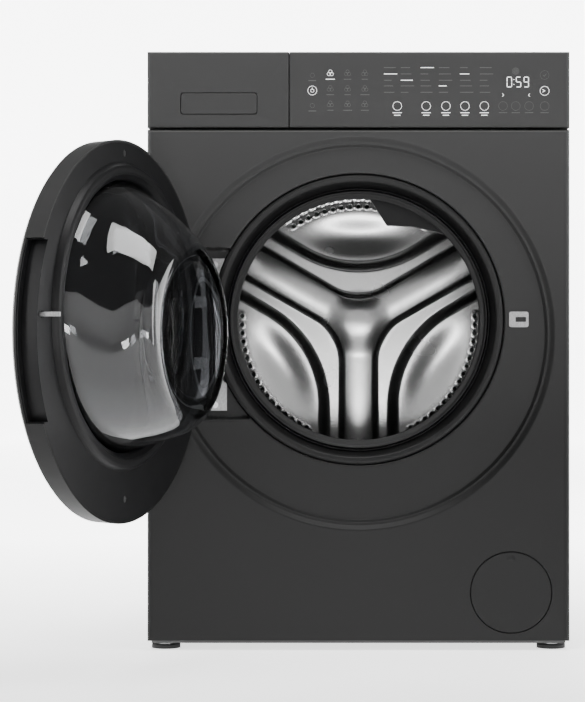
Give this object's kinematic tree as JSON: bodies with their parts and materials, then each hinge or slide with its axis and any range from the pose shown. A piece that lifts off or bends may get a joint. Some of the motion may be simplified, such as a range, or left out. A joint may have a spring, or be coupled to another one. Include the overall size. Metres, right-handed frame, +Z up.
{
  "type": "front load washing machine",
  "caption": "Front-loading washing machine with its round door open on a steel drum, console, detergent drawer, suspended tub, direct drive, pump and levelling feet.",
  "frame": {"origin": "on the floor, at the middle of the four feet", "axes": "+X to the machine's right seen from the front, the front faces -Y, +Z up"},
  "size_m": [0.7217, 1.087, 0.85],
  "materials": {
    "graphite_paint": "satin graphite paint",
    "console_plastic": "satin moulded, matched to the paint",
    "dark_plastic": "fine grained moulding",
    "white_plastic": "satin moulding",
    "blue_plastic": "satin moulding",
    "tub_plastic": "filled polypropylene",
    "zinc_steel": "zinc-coated sheet",
    "drum_steel": "brushed stainless",
    "bright_steel": "smooth tube",
    "fastener_steel": "plated",
    "black_steel": "black",
    "circuit_board": "coated board",
    "rubber": "matt",
    "gasket_rubber": "satin dark grey",
    "foot_rubber": "matt",
    "concrete": "cast",
    "stator_core": "wound",
    "cast_alloy": "as cast",
    "hinge_metal": "light grey satin",
    "window_glass": "dark tinted",
    "bowl_glass": "smoked"
  },
  "bodies": {
    "cabinet": {"front_panel": "graphite_paint", "side_panel_left": "graphite_paint", "side_panel_right": "graphite_paint", "rear_panel": "zinc_steel", "rear_cover": "dark_plastic", "cabinet_screws": "fastener_steel", "top_panel": "graphite_paint", "base_pan": "black_steel", "foot_lock_nuts": "fastener_steel", "console_panel": "console_plastic", "control_board": "circuit_board", "dispenser_housing": "white_plastic", "internal_hoses": "rubber", "inlet_valve": "white_plastic", "drain_outlet": "dark_plastic", "cord_gland": "dark_plastic", "drain_pump": "dark_plastic", "pump_frame": "dark_plastic", "heater": "bright_steel", "tub_front": "tub_plastic", "tub_rear": "tub_plastic", "counterweights": "concrete", "suspension_springs": "fastener_steel", "spring_brackets": "zinc_steel", "dampers": "dark_plastic", "door_gasket": "gasket_rubber", "gasket_clamps": "fastener_steel", "spray_nozzle": "dark_plastic", "shaft_bearings": "fastener_steel", "shaft_seal": "rubber", "motor_stator": "stator_core", "hinge_plate": "hinge_metal", "strike_plate": "hinge_metal", "door_lock": "dark_plastic"},
    "drum": {"drum_shell": "drum_steel", "drum_back": "drum_steel", "drum_lifters": "drum_steel", "drum_spider": "cast_alloy", "drum_shaft": "fastener_steel", "motor_rotor": "zinc_steel", "rotor_bolt": "fastener_steel"},
    "door": {"door_ring": "graphite_paint", "door_window": "window_glass", "door_frame": "dark_plastic", "door_screws": "black_steel", "door_bowl": "bowl_glass", "handle_liner": "dark_plastic", "door_pins": "fastener_steel", "door_hinge_bracket": "cast_alloy"},
    "latch": {"latch_hook": "hinge_metal"},
    "drawer": {"drawer_front": "console_plastic", "drawer_tray": "white_plastic", "siphon_cap": "blue_plastic"},
    "flap": {"grip_flap": "console_plastic"},
    "pump_door": {"pump_cover": "console_plastic"},
    "filter": {"filter_knob": "dark_plastic"},
    "foot_front_left": {"foot_front_left": "foot_rubber"},
    "foot_front_right": {"foot_front_right": "foot_rubber"},
    "foot_rear_left": {"foot_rear_left": "foot_rubber"},
    "foot_rear_right": {"foot_rear_right": "foot_rubber"}
  },
  "joints": [
    {"name": "door_hinge", "type": "hinge", "parent": "cabinet", "child": "door", "pos_m": [-0.235, -0.31, 0.45], "axis": [0, 0, -1], "range_deg": [-110.3, 14]},
    {"name": "latch_turn", "type": "hinge", "parent": "door", "child": "latch", "pos_m": [-0.39827, -0.74273, 0.47], "axis": [0, 0, 1], "range_deg": [0, 7], "stiffness_Nm_per_rad": 0.6, "springref_deg": -5.73},
    {"name": "drum_spin", "type": "hinge", "parent": "cabinet", "child": "drum", "pos_m": [0, 0, 0.47], "axis": [0, 1, 0], "continuous": true},
    {"name": "drawer_slide", "type": "slide", "parent": "cabinet", "child": "drawer", "axis": [0, -1, 0], "range_m": [0, 0.2]},
    {"name": "flap_push", "type": "hinge", "parent": "drawer", "child": "flap", "pos_m": [-0.198, -0.2978, 0.7888], "axis": [1, 0, 0], "range_deg": [0, 30], "stiffness_Nm_per_rad": 0.05, "springref_deg": -14.32},
    {"name": "pump_cover_pull", "type": "slide", "parent": "cabinet", "child": "pump_door", "axis": [0, -1, 0], "range_m": [0, 0.03]},
    {"name": "filter_turn", "type": "hinge", "parent": "cabinet", "child": "filter", "pos_m": [0.2165, -0.27, 0.0824], "axis": [0, 1, 0], "range_deg": [0, 120]},
    {"name": "foot_front_left_turn", "type": "hinge", "parent": "cabinet", "child": "foot_front_left", "pos_m": [-0.276, -0.262, 0], "axis": [0, 0, 1], "continuous": true},
    {"name": "foot_front_right_turn", "type": "hinge", "parent": "cabinet", "child": "foot_front_right", "pos_m": [0.276, -0.262, 0], "axis": [0, 0, 1], "continuous": true},
    {"name": "foot_rear_left_turn", "type": "hinge", "parent": "cabinet", "child": "foot_rear_left", "pos_m": [-0.276, 0.262, 0], "axis": [0, 0, 1], "continuous": true},
    {"name": "foot_rear_right_turn", "type": "hinge", "parent": "cabinet", "child": "foot_rear_right", "pos_m": [0.276, 0.262, 0], "axis": [0, 0, 1], "continuous": true}
  ]
}
